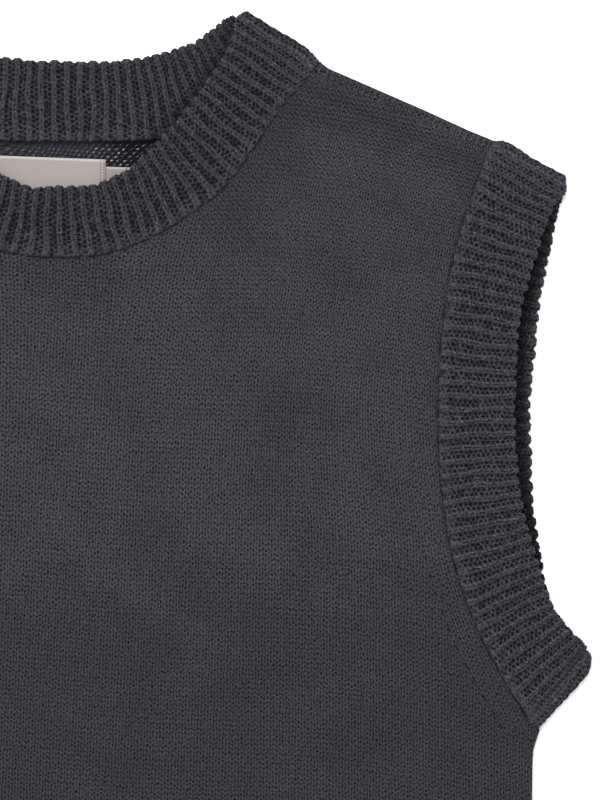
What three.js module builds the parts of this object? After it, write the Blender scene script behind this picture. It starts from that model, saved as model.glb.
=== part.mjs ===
import * as THREE from 'three';

// A child's fine knitted sweater vest, laid flat on its back with its front up. Millimetres.
// +Z is up, +Y runs from the hem to the neck and +X to the wearer's left.
// The origin is under the middle of the garment, on the surface that it lies on.

// Driving dimensions
const LENGTH = 424; // neckband's rounded shoulder corners to the hem
const CORNER_RISE = 15.3; // those corners above the neck point, where shoulder and neck seam meet
const HEM_DEPTH = 45; // rib at the hem
const HEM_TOP_HALF = 154; // centre line to the side at the top of the hem rib
const HEM_END_WALL = 1.05; // hem's wall at its sides
const PLAIN_HEM_STEPS = 12;
const HEM_HALF = 152; // centre line to the hem's side, where the rib draws in
const RIB_PITCH = 4.3; // ridge to ridge
const JERSEY = 1.6; // wall of the plain knit
const RIB = 2.6; // wall of the rib at a ridge
const RIB_RELIEF = 0.8; // how much thinner it is between ridges
const LAYERS_APART = 0.6; // between a band's two halves
const SEAM_GAP = 0.4; // between a panel and the band linked to it

// Sections across a band: the linked side is pinched and the free edge is rounded
const PINCHED = 1.3; // wall at the linked side
const ROUNDED = 1.5; // wall at the free edge
const PINCH_WIDTH = 1.8; // over which the wall reaches its full thickness
const ROUND_WIDTH = 1.4;

// Fold at a band's end: the wall turns over about an axis between its two halves
const FOLD_INSIDE = LAYERS_APART / 2;
const FOLD_OUTSIDE = FOLD_INSIDE + RIB;
const FOLD_STEPS = 4;
const RELIEF_TURNS_OVER = Math.PI * 0.6; // beyond this the wall's other side faces up
const STEPS_PER_RIB = 2;

// Heights of the panels
const FRONT_REST = JERSEY + 0.35; // underside of the front where it lies on the back
const FRONT_LIFT = 1.1; // how much higher it is at a band, which lies on the other half
const LIFT_REACH = 30;
const DRAPE = 0.5; // height of the front's soft waves
const WAVE_ACROSS = { size: 31, phase: 0.8 };
const WAVE_DOWN = { size: 47, phase: 0.4 };
const EDGE_ROLL = 2.2; // width over which a panel rounds off at a fold
const EDGE_WALL = 0.35; // what is left of its wall there
const LEAST_STEP = 0.01; // share of the way between two lines of a panel
const RIM_LINE = 0.99; // share of the way to its outline of a panel's last inner line
const TUCK = 0.35; // dip of the front's upper side at a linked seam
const FOLD_CALM = 12; // from a fold, over which lift grows
const FOLD_REACH = 40; // from a fold, over which the soft waves grow

// Label and size tab, inside the back neck
const LABEL = { left: -27, right: 15, topDrop: 31.8, height: 16, wall: 1 };
const SIZE_TAB = { left: 15.4, right: 23.7, topDrop: 34.7, height: 12.5, wall: 1 };
const LABEL_REST = JERSEY + 0.3;
const TAPE_CORNER = 0.6;

// Tables give places across from the centre line, and as a drop below the neck point.
// A row follows one rib: seam is its linked end, edge its free end, rib its number.
const NECK_FRONT = [
  { rib: 0, seamAcross: 0, seamDrop: 65.7, edgeAcross: 0, edgeDrop: 42 },
  { rib: 2.8, seamAcross: 14.7, seamDrop: 64.7, edgeAcross: 10, edgeDrop: 42 },
  { rib: 6.4, seamAcross: 31, seamDrop: 58.8, edgeAcross: 22.3, edgeDrop: 36.3 },
  { rib: 9.3, seamAcross: 43.3, seamDrop: 51.3, edgeAcross: 30.7, edgeDrop: 29 },
  { rib: 11.6, seamAcross: 54, seamDrop: 43.3, edgeAcross: 36.2, edgeDrop: 23.8 },
  { rib: 15.6, seamAcross: 66, seamDrop: 27.3, edgeAcross: 45.7, edgeDrop: 11.3 },
  { rib: 18.8, seamAcross: 74.3, seamDrop: 15, edgeAcross: 53, edgeDrop: 1.7 },
  { rib: 20.6, seamAcross: 79.7, seamDrop: 9, edgeAcross: 57.3, edgeDrop: -6 },
  { rib: 23, seamAcross: 86, seamDrop: 0.7, edgeAcross: 61.7, edgeDrop: -16 },
];
const NECK_BACK = [
  { rib: 0, seamAcross: 0, seamDrop: 26.7, edgeAcross: 0, edgeDrop: 0.7 },
  { rib: 3.1, seamAcross: 13.3, seamDrop: 26.7, edgeAcross: 13.3, edgeDrop: 0.7 },
  { rib: 6.2, seamAcross: 28.3, seamDrop: 26.3, edgeAcross: 24.3, edgeDrop: 0 },
  { rib: 9.4, seamAcross: 43.3, seamDrop: 24.3, edgeAcross: 34.3, edgeDrop: -1.7 },
  { rib: 12.9, seamAcross: 58.3, seamDrop: 20, edgeAcross: 44.3, edgeDrop: -5.7 },
  { rib: 16.8, seamAcross: 71.7, seamDrop: 12.7, edgeAcross: 53.7, edgeDrop: -11.3 },
  { rib: 22, seamAcross: 86, seamDrop: 0.7, edgeAcross: 61.7, edgeDrop: -16 },
];
// From the shoulder down to the underarm. backOut is how far out the back half's rib lies.
const ARMHOLE = [
  { rib: 0, seamAcross: 144.7, seamDrop: 26.5, edgeAcross: 168.3, edgeDrop: 39, backOut: 0 },
  { rib: 2.9, seamAcross: 139.9, seamDrop: 38.2, edgeAcross: 164, edgeDrop: 50.5, backOut: 1.7 },
  { rib: 7.2, seamAcross: 133.2, seamDrop: 57.6, edgeAcross: 158.2, edgeDrop: 66.2, backOut: 4.2 },
  { rib: 13.1, seamAcross: 128, seamDrop: 84.7, edgeAcross: 153.1, edgeDrop: 88.3, backOut: 5.4 },
  { rib: 19.3, seamAcross: 126.1, seamDrop: 113, edgeAcross: 151.7, edgeDrop: 113.7, backOut: 5 },
  { rib: 25.6, seamAcross: 127, seamDrop: 141.4, edgeAcross: 152.6, edgeDrop: 138.7, backOut: 4.6 },
  { rib: 31, seamAcross: 131.2, seamDrop: 166.6, edgeAcross: 156.9, edgeDrop: 159.7, backOut: 2.2 },
  { rib: 36, seamAcross: 139, seamDrop: 189.3, edgeAcross: 162.9, edgeDrop: 177.1, backOut: 0.3 },
  { rib: 40.7, seamAcross: 150.2, seamDrop: 210.2, edgeAcross: 171.6, edgeDrop: 191.3, backOut: 0 },
  { rib: 44, seamAcross: 159, seamDrop: 222.7, edgeAcross: 176.7, edgeDrop: 200, backOut: 0 },
];
// The side fold, from the underarm down to the hem rib
const SIDE = [
  { across: 159.3, drop: 223.2 },
  { across: 157.6, drop: 231 },
  { across: 157.1, drop: 245 },
  { across: 157, drop: 300 },
  { across: 156.3, drop: 340 },
  { across: HEM_TOP_HALF, drop: LENGTH - CORNER_RISE - HEM_DEPTH },
];

const NECK_POINT_Y = LENGTH / 2 - CORNER_RISE;
const HEM_Y = -LENGTH / 2;
const place = (across, drop) => new THREE.Vector2(across, NECK_POINT_Y - drop);

const materials = {
  jersey: { color: '#3f4045', roughness: 0.95, metalness: 0 },
  inside: { color: '#2a2a2e', roughness: 0.97, metalness: 0 },
  rib: { color: '#36373c', roughness: 0.95, metalness: 0 },
  label: { color: '#c9c4b9', roughness: 0.85, metalness: 0 },
};

// A closed mesh of numbered points, turned so that its faces point out
function solid(name, points, faces, material) {
  const corner = (face, i) => points[face[i]];
  const volume = faces.reduce((sum, face) => {
    const normal = new THREE.Vector3().crossVectors(corner(face, 1), corner(face, 2));
    return sum + corner(face, 0).dot(normal);
  }, 0);
  const outward = volume > 0 ? faces : faces.map(([a, b, c]) => [a, c, b]);
  const geometry = new THREE.BufferGeometry().setFromPoints(points);
  geometry.setIndex(outward.flat());
  geometry.computeVertexNormals();
  const mesh = new THREE.Mesh(geometry, new THREE.MeshStandardMaterial(material));
  mesh.name = name;
  return mesh;
}

// Smooth curve through a list of plan points, as a function of the rib number
function alongRibs(ribs, points) {
  const curve = new THREE.CatmullRomCurve3(points.map((p) => new THREE.Vector3(p.x, p.y, 0)));
  return (rib) => {
    const row = Math.max(1, ribs.findIndex((value, i) => i > 0 && rib <= value));
    const share = (rib - ribs[row - 1]) / (ribs[row] - ribs[row - 1]);
    const point = curve.getPoint((row - 1 + share) / (ribs.length - 1));
    return new THREE.Vector2(point.x, point.y);
  };
}

// Direction in plan in which a band's end folds over, away from the rest of the band
function foldDirection(end, next) {
  const along = end.edge.clone().sub(end.seam).normalize();
  const across = new THREE.Vector2(along.y, -along.x);
  const away = end.seam.clone().add(end.edge).sub(next.seam).sub(next.edge);
  return across.multiplyScalar(Math.sign(across.dot(away)));
}

// One half of a band in plan. Its end rows are given on the outline and drawn in to the fold's axis.
function bandHalf(rows) {
  const ribs = rows.map((row) => row.rib);
  const ends = rows.map((row) => ({
    seam: place(row.seamAcross, row.seamDrop),
    edge: place(row.edgeAcross, row.edgeDrop),
  }));
  const folds = [
    foldDirection(ends[0], ends[1]),
    foldDirection(ends[ends.length - 1], ends[ends.length - 2]),
  ];
  [ends[0], ends[ends.length - 1]].forEach((end, i) => {
    end.seam.addScaledVector(folds[i], -FOLD_OUTSIDE);
    end.edge.addScaledVector(folds[i], -FOLD_OUTSIDE);
  });
  const seam = alongRibs(ribs, ends.map((end) => end.seam));
  const edge = alongRibs(ribs, ends.map((end) => end.edge));
  const first = ribs[0];
  const last = ribs[ribs.length - 1];
  return { first, last, folds, seam, edge };
}

const mirrored = (rows) => rows.slice(1).reverse().map((row) => ({
  rib: -row.rib,
  seamAcross: -row.seamAcross,
  seamDrop: row.seamDrop,
  edgeAcross: -row.edgeAcross,
  edgeDrop: row.edgeDrop,
}));

const shiftedOut = (rows) => rows.map((row) => ({
  ...row,
  seamAcross: row.seamAcross + row.backOut,
  edgeAcross: row.edgeAcross + row.backOut,
}));

// One section across a band. turn is 0 on the upper half, a half turn on the lower one.
// The side that faces up carries the relief, and the other side is plain.
function bandSection(seam, edge, fold, turn, ridge) {
  const width = seam.distanceTo(edge);
  const wall = RIB - (ridge ? 0 : RIB_RELIEF);
  const reliefLine = [
    { share: 0, wall: PINCHED },
    { share: PINCH_WIDTH / width, wall },
    { share: 1 - ROUND_WIDTH / width, wall },
    { share: 1, wall: ROUNDED },
  ];
  const plainLine = [{ share: 0, wall: RIB }, { share: 1, wall: RIB }];
  const line = (stations, radiusAt) => stations.map((station) => {
    const radius = radiusAt(station.wall);
    const plan = seam.clone().lerp(edge, station.share);
    plan.addScaledVector(fold, Math.sin(turn) * radius);
    const height = FOLD_OUTSIDE + Math.cos(turn) * radius;
    return { share: station.share, point: new THREE.Vector3(plan.x, plan.y, height) };
  });
  if (turn < RELIEF_TURNS_OVER) {
    return {
      outer: line(reliefLine, (thickness) => FOLD_INSIDE + thickness),
      inner: line(plainLine, () => FOLD_INSIDE),
    };
  }
  return {
    outer: line(plainLine, () => FOLD_OUTSIDE),
    inner: line(reliefLine, (thickness) => FOLD_OUTSIDE - thickness),
  };
}

// Faces between two numbered lines that may differ in how many points they have
function zip(lineA, lineB, faces) {
  let a = 0;
  let b = 0;
  while (a < lineA.length - 1 || b < lineB.length - 1) {
    const nextA = a < lineA.length - 1 ? lineA[a + 1].share : Infinity;
    const nextB = b < lineB.length - 1 ? lineB[b + 1].share : Infinity;
    if (nextA <= nextB) {
      faces.push([lineA[a].id, lineA[a + 1].id, lineB[b].id]);
      a += 1;
    } else {
      faces.push([lineA[a].id, lineB[b + 1].id, lineB[b].id]);
      b += 1;
    }
  }
}

// A band from its sections, as a closed ring or as a strip with capped ends
function bandSolid(name, sections, closed, material) {
  const points = [];
  const numbered = (line) => line.map(({ share, point }) => {
    points.push(point);
    return { share, id: points.length - 1 };
  });
  const numberedSections = sections.map(({ outer, inner }) => ({
    outer: numbered(outer),
    inner: numbered(inner),
  }));
  const faces = [];
  const ends = ({ outer, inner }, share) => {
    const last = share === 0 ? 0 : outer.length - 1;
    const innerLast = share === 0 ? 0 : inner.length - 1;
    return [{ share: 0, id: inner[innerLast].id }, { share: 1, id: outer[last].id }];
  };
  const count = numberedSections.length;
  for (let i = 0; i < (closed ? count : count - 1); i += 1) {
    const here = numberedSections[i];
    const next = numberedSections[(i + 1) % count];
    zip(here.outer, next.outer, faces);
    zip(next.inner, here.inner, faces);
    zip(ends(here, 0), ends(next, 0), faces);
    zip(ends(next, 1), ends(here, 1), faces);
  }
  if (!closed) {
    zip(numberedSections[0].inner, numberedSections[0].outer, faces);
    zip(numberedSections[count - 1].outer, numberedSections[count - 1].inner, faces);
  }
  return solid(name, points, faces, material);
}

// A ring of rib: over the upper half, round one fold, back along the lower half, round the other
function ringSections(upper, lower) {
  const sections = [];
  const half = (curves, turn, from, to) => {
    const steps = Math.round(Math.abs(to - from) * STEPS_PER_RIB);
    for (let i = 0; i <= steps; i += 1) {
      const rib = from + ((to - from) * i) / steps;
      const fold = curves.folds[0];
      sections.push(bandSection(curves.seam(rib), curves.edge(rib), fold, turn, i % 2 === 0));
    }
  };
  const fold = (curves, end, turnFrom, turnTo) => {
    const rib = end === 0 ? curves.first : curves.last;
    for (let i = 1; i < FOLD_STEPS; i += 1) {
      const turn = turnFrom + ((turnTo - turnFrom) * i) / FOLD_STEPS;
      const ridge = i % 2 === 0;
      sections.push(bandSection(curves.seam(rib), curves.edge(rib), curves.folds[end], turn, ridge));
    }
  };
  half(upper, 0, upper.first, upper.last);
  fold(upper, 1, 0, Math.PI);
  half(lower, Math.PI, lower.last, lower.first);
  fold(lower, 0, Math.PI, 0);
  return sections;
}

const neckFront = bandHalf([...mirrored(NECK_FRONT), ...NECK_FRONT]);
const neckBack = bandHalf([...mirrored(NECK_BACK), ...NECK_BACK]);
const armFront = bandHalf(ARMHOLE);
const armBack = bandHalf(shiftedOut(ARMHOLE));

function flipped(sections) {
  const flip = (line) => line.map(({ share, point }) => ({
    share,
    point: new THREE.Vector3(-point.x, point.y, point.z),
  }));
  return sections.map(({ outer, inner }) => ({ outer: flip(outer), inner: flip(inner) }));
}

// A line of plan points along a seam, held clear of the band that is linked to it
function seamLine(curves, from, to, steps) {
  const points = [];
  for (let i = 0; i <= steps; i += 1) {
    const rib = from + ((to - from) * i) / steps;
    const seam = curves.seam(rib);
    const clear = seam.clone().sub(curves.edge(rib)).setLength(SEAM_GAP);
    points.push(seam.add(clear));
  }
  return points;
}

function outlineCorner(row) {
  const seam = place(row.seamAcross, row.seamDrop);
  const clear = seam.clone().sub(place(row.edgeAcross, row.edgeDrop)).setLength(SEAM_GAP);
  return seam.add(clear);
}

function straight(from, to, steps) {
  const points = [];
  for (let i = 1; i <= steps; i += 1) {
    points.push(from.clone().lerp(to, i / steps));
  }
  return points;
}

// Share of a line's length reached at each of its points
function shares(points) {
  let length = 0;
  const reached = points.map((point, i) => {
    length += i === 0 ? 0 : point.distanceTo(points[i - 1]);
    return length;
  });
  return reached.map((value) => value / length);
}

function pointAt(points, reached, share) {
  const i = Math.max(1, reached.findIndex((value, k) => k > 0 && share <= value + 1e-9));
  const part = (share - reached[i - 1]) / (reached[i] - reached[i - 1]);
  return points[i - 1].clone().lerp(points[i], part);
}

function distanceToLine(point, line) {
  let nearest = Infinity;
  for (let i = 1; i < line.length; i += 1) {
    const span = line[i].clone().sub(line[i - 1]);
    const part = point.clone().sub(line[i - 1]).dot(span) / span.lengthSq();
    const foot = line[i - 1].clone().addScaledVector(span, THREE.MathUtils.clamp(part, 0, 1));
    nearest = Math.min(nearest, foot.distanceTo(point));
  }
  return nearest;
}

// The outline of half a panel, from the neck's centre round the shoulder and armhole to the hem rib
function panelOutline(neckCurves, armCurves, neckSteps, armSteps, shoulderSteps) {
  const neck = seamLine(neckCurves, 0, neckCurves.last, neckSteps);
  const neckPoint = outlineCorner(NECK_FRONT[NECK_FRONT.length - 1]);
  const armPoint = outlineCorner(ARMHOLE[0]);
  const arm = seamLine(armCurves, armCurves.last, armCurves.first, armSteps);
  const underarm = outlineCorner(ARMHOLE[ARMHOLE.length - 1]);
  const side = SIDE.slice(1).reverse().map((row) => place(row.across, row.drop));
  const shoulder = straight(neckPoint, armPoint, shoulderSteps);
  return {
    top: [...neck, neckPoint, ...shoulder],
    right: [...side, underarm, ...arm, armPoint],
    seams: [neck, arm],
    folds: [[neckPoint, ...shoulder], [...side, underarm]],
  };
}

// Half a panel as a patch stretched between its centre line, hem, side and top
function panelPatch(outline) {
  const { top, right } = outline;
  const hemCorner = right[0];
  const hemCentre = new THREE.Vector2(0, hemCorner.y);
  const neckCentre = top[0];
  const shoulderCorner = top[top.length - 1];
  const topShares = shares(top);
  const rightShares = shares(right);
  const point = (a, b) => {
    const left = hemCentre.clone().lerp(neckCentre, b);
    const bottom = hemCentre.clone().lerp(hemCorner, a);
    const patch = left.multiplyScalar(1 - a);
    patch.addScaledVector(pointAt(right, rightShares, b), a);
    patch.addScaledVector(bottom, 1 - b);
    patch.addScaledVector(pointAt(top, topShares, a), b);
    patch.addScaledVector(hemCentre, -(1 - a) * (1 - b));
    patch.addScaledVector(hemCorner, -a * (1 - b));
    patch.addScaledVector(neckCentre, -(1 - a) * b);
    patch.addScaledVector(shoulderCorner, -a * b);
    return patch;
  };
  const withRimLine = (list) => {
    const inner = list.filter((share) => share < RIM_LINE - LEAST_STEP);
    return [...inner, RIM_LINE, 1];
  };
  const columns = withRimLine(topShares);
  const rows = withRimLine(rightShares);
  return { point, columns, rows };
}

// A panel's wall: both halves of the patch, with its lower and upper heights at each point
function panelSolid(name, outline, heights, material) {
  const { point, columns, rows } = panelPatch(outline);
  const across = [...columns.slice(1).reverse().map((a) => -a), ...columns];
  const points = [];
  const index = (row, column, side) => (row * across.length + column) * 2 + side;
  rows.forEach((b) => {
    across.forEach((a) => {
      const plan = point(Math.abs(a), b);
      const { low, high } = heights(plan, outline, Math.sign(a));
      const x = plan.x * (a < 0 ? -1 : 1);
      points.push(new THREE.Vector3(x, plan.y, low));
      points.push(new THREE.Vector3(x, plan.y, high));
    });
  });
  const faces = [];
  const quad = (a, b, c, d) => faces.push([a, b, c], [a, c, d]);
  const lastRow = rows.length - 1;
  const lastColumn = across.length - 1;
  for (let r = 0; r < lastRow; r += 1) {
    for (let c = 0; c < lastColumn; c += 1) {
      quad(index(r, c, 1), index(r, c + 1, 1), index(r + 1, c + 1, 1), index(r + 1, c, 1));
      quad(index(r, c, 0), index(r + 1, c, 0), index(r + 1, c + 1, 0), index(r, c + 1, 0));
    }
    quad(index(r, 0, 0), index(r, 0, 1), index(r + 1, 0, 1), index(r + 1, 0, 0));
    const e = lastColumn;
    quad(index(r, e, 1), index(r, e, 0), index(r + 1, e, 0), index(r + 1, e, 1));
  }
  for (let c = 0; c < lastColumn; c += 1) {
    quad(index(0, c, 0), index(0, c + 1, 0), index(0, c + 1, 1), index(0, c, 1));
    const e = lastRow;
    quad(index(e, c, 1), index(e, c + 1, 1), index(e, c + 1, 0), index(e, c, 0));
  }
  return solid(name, points, faces, material);
}

const eased = (share) => THREE.MathUtils.smoothstep(share, 0, 1);

// Wall left at a distance from a fold, as a quarter round
function wallNearFold(distance, wall) {
  const share = THREE.MathUtils.clamp(distance / EDGE_ROLL, 0, 1);
  return EDGE_WALL + (wall - EDGE_WALL) * Math.sqrt(1 - (1 - share) ** 2);
}

function frontHeights(plan, outline, side) {
  const toSeam = Math.min(...outline.seams.map((line) => distanceToLine(plan, line)));
  const toFold = Math.min(...outline.folds.map((line) => distanceToLine(plan, line)));
  const lift = FRONT_LIFT * eased(1 - toSeam / LIFT_REACH) * eased(toFold / FOLD_CALM);
  const across = Math.sin((side * plan.x) / WAVE_ACROSS.size + WAVE_ACROSS.phase);
  const down = Math.cos(plan.y / WAVE_DOWN.size + WAVE_DOWN.phase);
  const drape = (DRAPE / 2) * (1 + across * down) * eased(toFold / FOLD_REACH) * eased(toSeam / LIFT_REACH);
  const low = FRONT_REST + lift + drape;
  const tucked = TUCK * eased(1 - toSeam / EDGE_ROLL);
  return { low, high: low + wallNearFold(toFold, JERSEY) - tucked };
}

function backHeights(plan, outline) {
  const toFold = Math.min(...outline.folds.map((line) => distanceToLine(plan, line)));
  return { low: JERSEY - wallNearFold(toFold, JERSEY), high: JERSEY };
}

// Hem: a strip of rib below each panel
function hemSections(ribbed, low) {
  const top = HEM_Y + HEM_DEPTH - SEAM_GAP;
  const ribs = Math.round((2 * HEM_HALF) / RIB_PITCH);
  const steps = ribbed ? ribs * STEPS_PER_RIB : PLAIN_HEM_STEPS;
  const sections = [];
  for (let i = 0; i <= steps; i += 1) {
    const share = (2 * i) / steps - 1;
    const full = ribbed ? RIB - (i % 2 === 1 ? 0 : RIB_RELIEF) : JERSEY;
    const wall = i === 0 || i === steps ? HEM_END_WALL : full;
    const seam = new THREE.Vector2(share * HEM_TOP_HALF, top);
    const edge = new THREE.Vector2(share * HEM_HALF, HEM_Y);
    sections.push(hemSection(seam, edge, wall, low, ribbed));
  }
  return sections;
}

function hemSection(seam, edge, wall, low, ribbed) {
  const width = seam.distanceTo(edge);
  const station = (share, height) => {
    const plan = seam.clone().lerp(edge, share);
    return { share, point: new THREE.Vector3(plan.x, plan.y, height) };
  };
  const plain = [station(0, low), station(1, low)];
  const top = low + wall;
  if (!ribbed) {
    return { outer: [station(0, top), station(1, top)], inner: plain };
  }
  const pinched = low + Math.min(PINCHED, wall);
  const outer = [station(0, pinched), station(PINCH_WIDTH / width, top), station(1, top)];
  return { outer, inner: plain };
}

// Label and size tab: thin woven tapes with rounded corners
function tape(name, size, material) {
  const shape = new THREE.Shape();
  const round = TAPE_CORNER;
  const top = NECK_POINT_Y - size.topDrop;
  const bottom = top - size.height;
  shape.moveTo(size.left + round, bottom);
  shape.lineTo(size.right - round, bottom);
  shape.quadraticCurveTo(size.right, bottom, size.right, bottom + round);
  shape.lineTo(size.right, top - round);
  shape.quadraticCurveTo(size.right, top, size.right - round, top);
  shape.lineTo(size.left + round, top);
  shape.quadraticCurveTo(size.left, top, size.left, top - round);
  shape.lineTo(size.left, bottom + round);
  shape.quadraticCurveTo(size.left, bottom, size.left + round, bottom);
  const geometry = new THREE.ExtrudeGeometry(shape, {
    depth: size.wall,
    bevelEnabled: false,
    curveSegments: 3,
  });
  const mesh = new THREE.Mesh(geometry, new THREE.MeshStandardMaterial(material));
  mesh.name = name;
  mesh.position.z = LABEL_REST;
  return mesh;
}

const frontOutline = panelOutline(neckFront, armFront, 13, 14, 4);
const backOutline = panelOutline(neckBack, armBack, 8, 12, 4);
const armSections = ringSections(armFront, armBack);

const vest = new THREE.Group();
vest.add(
  panelSolid('back_panel', backOutline, backHeights, materials.inside),
  panelSolid('front_panel', frontOutline, frontHeights, materials.jersey),
  bandSolid('neckband', ringSections(neckFront, neckBack), true, materials.rib),
  bandSolid('armhole_band_left', armSections, true, materials.rib),
  bandSolid('armhole_band_right', flipped(armSections), true, materials.rib),
  bandSolid('hem_back', hemSections(false, 0), false, materials.rib),
  bandSolid('hem_front', hemSections(true, FRONT_REST), false, materials.rib),
  tape('label', LABEL, materials.label),
  tape('size_tab', SIZE_TAB, materials.label),
);

export default vest;
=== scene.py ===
import math

import bmesh
import bpy
import numpy as np
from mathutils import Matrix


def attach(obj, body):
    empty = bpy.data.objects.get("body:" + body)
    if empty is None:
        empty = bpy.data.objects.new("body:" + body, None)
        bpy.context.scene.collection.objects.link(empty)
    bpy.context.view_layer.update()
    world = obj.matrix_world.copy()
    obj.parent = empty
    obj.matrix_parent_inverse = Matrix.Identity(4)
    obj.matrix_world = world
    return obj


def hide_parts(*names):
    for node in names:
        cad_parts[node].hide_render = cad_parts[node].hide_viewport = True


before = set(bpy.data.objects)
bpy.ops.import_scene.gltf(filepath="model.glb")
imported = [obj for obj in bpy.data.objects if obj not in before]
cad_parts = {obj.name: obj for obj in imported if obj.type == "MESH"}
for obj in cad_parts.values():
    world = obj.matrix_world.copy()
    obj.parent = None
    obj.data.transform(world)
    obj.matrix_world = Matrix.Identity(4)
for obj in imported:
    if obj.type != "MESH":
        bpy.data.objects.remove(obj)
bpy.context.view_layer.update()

# The view: straight down on the upper right part of the flat vest, as the photograph frames it.
# One photo pixel is a third of a millimetre on the cloth. The floor is plain and pale, and the
# light is soft: an even white sky and one wide lamp above the neck.
MM = 0.001
PIXEL = MM / 3
PHOTO_WIDE, PHOTO_HIGH = 601, 800
CENTRE_LINE_COLUMN, NECK_POINT_ROW = 60, 60
NECK_POINT_Y = 196.7 * MM  # where shoulder and neck seam meet
LENS, SENSOR = 100, 36
CLOTH_TOP = 5 * MM
view_x = (PHOTO_WIDE / 2 - CENTRE_LINE_COLUMN) * PIXEL
view_y = NECK_POINT_Y - (PHOTO_HIGH / 2 - NECK_POINT_ROW) * PIXEL
view_height = PHOTO_HIGH / 2 * PIXEL * LENS / (SENSOR / 2)
camera_data = bpy.data.cameras.new("camera")
camera_data.lens = LENS
camera_data.sensor_width = SENSOR
camera = bpy.data.objects.new("camera", camera_data)
camera.location = (view_x, view_y, CLOTH_TOP + view_height)
bpy.context.collection.objects.link(camera)
bpy.context.scene.camera = camera
bpy.context.scene.view_settings.view_transform = "Standard"

SKY_BRIGHTNESS = 1.05
world = bpy.data.worlds.new("sky")
world.use_nodes = True
world.node_tree.nodes["Background"].inputs["Color"].default_value = (1, 1, 1, 1)
world.node_tree.nodes["Background"].inputs["Strength"].default_value = SKY_BRIGHTNESS
bpy.context.scene.world = world

LAMP_TILT = math.radians(24)
LAMP_TILT_ASIDE = LAMP_TILT * 0.6
LAMP_DISTANCE, LAMP_SIZE, LAMP_WATTS = 1.3, 0.9, 21
lamp_data = bpy.data.lights.new("wide_lamp", "AREA")
lamp_data.size = LAMP_SIZE
lamp_data.energy = LAMP_WATTS
lamp = bpy.data.objects.new("wide_lamp", lamp_data)
lamp.rotation_euler = (-LAMP_TILT, -LAMP_TILT_ASIDE, 0)
lamp.location = (
    view_x - LAMP_DISTANCE * math.sin(LAMP_TILT_ASIDE),
    view_y + LAMP_DISTANCE * math.sin(LAMP_TILT),
    LAMP_DISTANCE * math.cos(LAMP_TILT),
)
bpy.context.collection.objects.link(lamp)

FLOOR_HALF, FLOOR_DROP = 1.5, 0.05 * MM
PALE = (0.93, 0.93, 0.93, 1)
bm = bmesh.new()
bmesh.ops.create_grid(bm, x_segments=1, y_segments=1, size=FLOOR_HALF)
bmesh.ops.translate(bm, verts=bm.verts, vec=(0, 0, -FLOOR_DROP))
floor_mesh = bpy.data.meshes.new("floor")
bm.to_mesh(floor_mesh)
bm.free()
floor = bpy.data.objects.new("floor", floor_mesh)
bpy.context.collection.objects.link(floor)
floor_paint = bpy.data.materials.new("pale_floor")
floor_paint.use_nodes = True
floor_paint.node_tree.nodes["Principled BSDF"].inputs["Base Color"].default_value = PALE
floor_paint.node_tree.nodes["Principled BSDF"].inputs["Roughness"].default_value = 1
floor_mesh.materials.append(floor_paint)

# Back: one piece of plain jersey with its purl side up, knitted from fine charcoal yarn. It is cut
# to the neck and armhole lines below, and its shoulders and sides are the folds of the flat vest.
JERSEY, RIB = 1.6 * MM, 2.6 * MM  # how thick the plain knit and the rib are
# Each row of these tables follows one rib of a band, in millimetres out from the centre line and
# down from the neck point. An armhole row ends with how much further out the back's rib lies.
NECK_BACK = (
    # rib, seam out, seam down, free edge out, free edge down
    (0, 0, 26.7, 0, -0.2),
    (3.1, 13.3, 26.7, 13.3, 0.1),
    (6.2, 28.3, 26.3, 24.3, -1.2),
    (9.4, 43.3, 24.3, 34.2, -3),
    (12.9, 58.3, 20, 44.2, -6.5),
    (16.8, 71.7, 12.7, 53.1, -13.1),
    (19.6, 79.4, 6.5, 57.2, -15.1),
    (22, 86, 0.7, 61.7, -16),
)
ARMHOLE = (
    # rib, seam out, seam down, free edge out, free edge down, back further out
    (0, 144.7, 26.5, 168.3, 39, 0),
    (2.9, 139.9, 38.2, 164, 50.5, 2.4),
    (7.2, 133.2, 57.6, 158.2, 66.2, 4.8),
    (13.1, 128, 84.7, 153.1, 88.3, 6.4),
    (19.3, 126.1, 113, 151.7, 113.7, 5.6),
    (25.6, 127, 141.4, 152.6, 138.7, 5),
    (31, 131.2, 166.6, 156.9, 159.7, 2.7),
    (36, 139, 189.3, 162.5, 177.3, 0.5),
    (38.4, 144.5, 200, 166.2, 185.1, 0),
    (40.7, 150.2, 210.2, 171.4, 191.5, 0),
    (42.5, 155, 217.2, 175.1, 195.3, 0),
    (44, 159, 222.7, 178.2, 199, 0),
)
BACK_RIBS, ARM_RIBS = NECK_BACK[-1][0], ARMHOLE[-1][0]
# The panels' folds: millimetres out and down
SHOULDER = (
    (86.3, -0.4), (87.8, 1.2), (89.6, 2.4), (100, 6.9),
    (122, 16.5), (136, 22.9), (144.7, 26.5),
)
SIDE = (
    (154, 363.7), (156.3, 340), (157.4, 300), (157.7, 245),
    (157.9, 231), (159.2, 226.8), (160.4, 223.4),
)
FOLD_INSIDE = 0.3 * MM
FOLD_OUTSIDE = FOLD_INSIDE + RIB
UNDER_BAND = 0.7 * MM  # how far a panel's edge runs in under the linked band
BESIDE_RIBS, SLIP_UNDER_RIBS = 1, 2  # ribs beside a fold, then ribs over which it slips under
EDGE_ROLL = 2.2 * MM
WALE, COURSE = 2.07 * MM, 1.65 * MM  # one stitch across and one row up


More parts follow.
